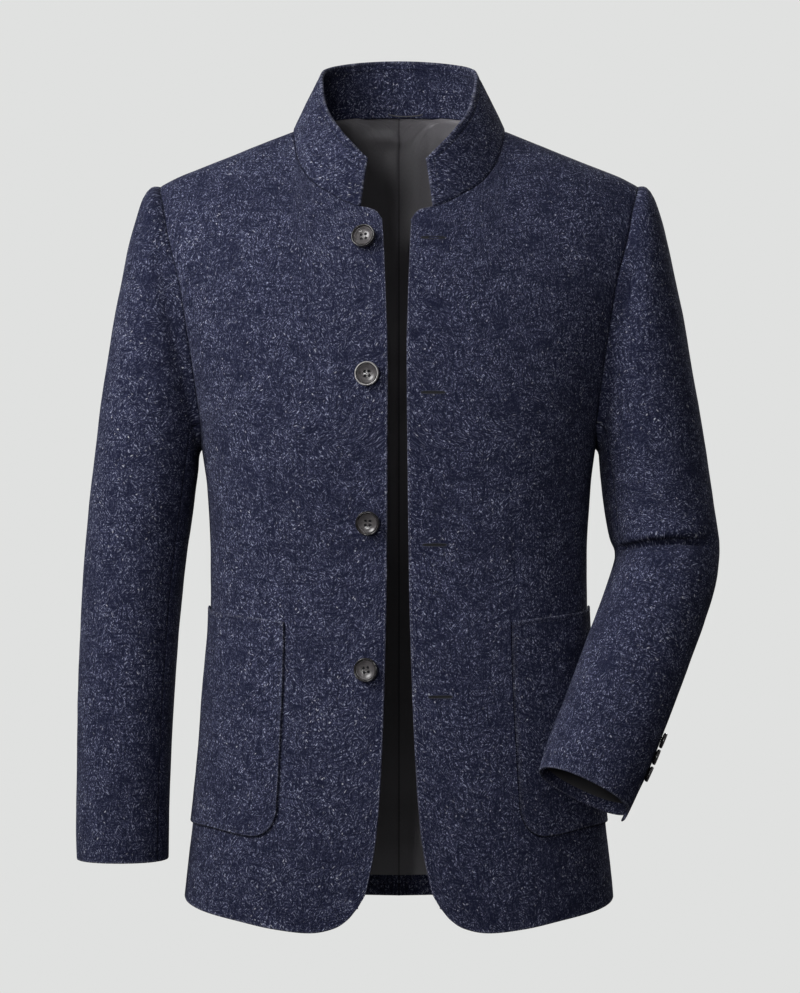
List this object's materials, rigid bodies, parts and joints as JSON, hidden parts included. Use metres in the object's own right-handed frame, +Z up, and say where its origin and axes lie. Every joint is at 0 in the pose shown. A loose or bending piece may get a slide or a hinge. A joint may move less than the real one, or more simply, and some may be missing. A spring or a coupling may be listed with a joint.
{
  "type": "standing-collar jacket",
  "caption": "Single-breasted wool jacket with a standing collar, patch pockets and two-piece sleeves, worn open and filled out as if on a wearer.",
  "frame": {"origin": "on the jacket's middle line, level with the points where the shoulder seams meet the collar: the place where a wearer's neck carries it", "axes": "+X towards the wearer's left, +Y towards the wearer's back, +Z up along the body"},
  "size_m": [0.6069, 0.2952, 0.8186],
  "materials": {
    "wool_cloth": "brushed melange wool",
    "satin_lining": "satin",
    "horn_button": "polished horn"
  },
  "bodies": {
    "root": {"front_right": "wool_cloth", "front_left": "wool_cloth", "back_right": "wool_cloth", "back_left": "wool_cloth", "collar": "wool_cloth", "sleeve_top_right": "wool_cloth", "sleeve_under_right": "wool_cloth", "sleeve_top_left": "wool_cloth", "sleeve_under_left": "wool_cloth", "pocket_right": "wool_cloth", "pocket_left": "wool_cloth", "back_hem_facing_right": "wool_cloth", "back_hem_facing_left": "wool_cloth", "back_lining_right": "satin_lining", "back_lining_left": "satin_lining", "cuff_facing_right": "wool_cloth", "cuff_facing_left": "wool_cloth", "sleeve_lining_right": "satin_lining", "sleeve_lining_left": "satin_lining", "button_1": "horn_button", "button_2": "horn_button", "button_3": "horn_button", "button_4": "horn_button", "cuff_button_right_1": "horn_button", "cuff_button_right_2": "horn_button", "cuff_button_right_3": "horn_button", "cuff_button_left_1": "horn_button", "cuff_button_left_2": "horn_button", "cuff_button_left_3": "horn_button"}
  },
  "joints": []
}
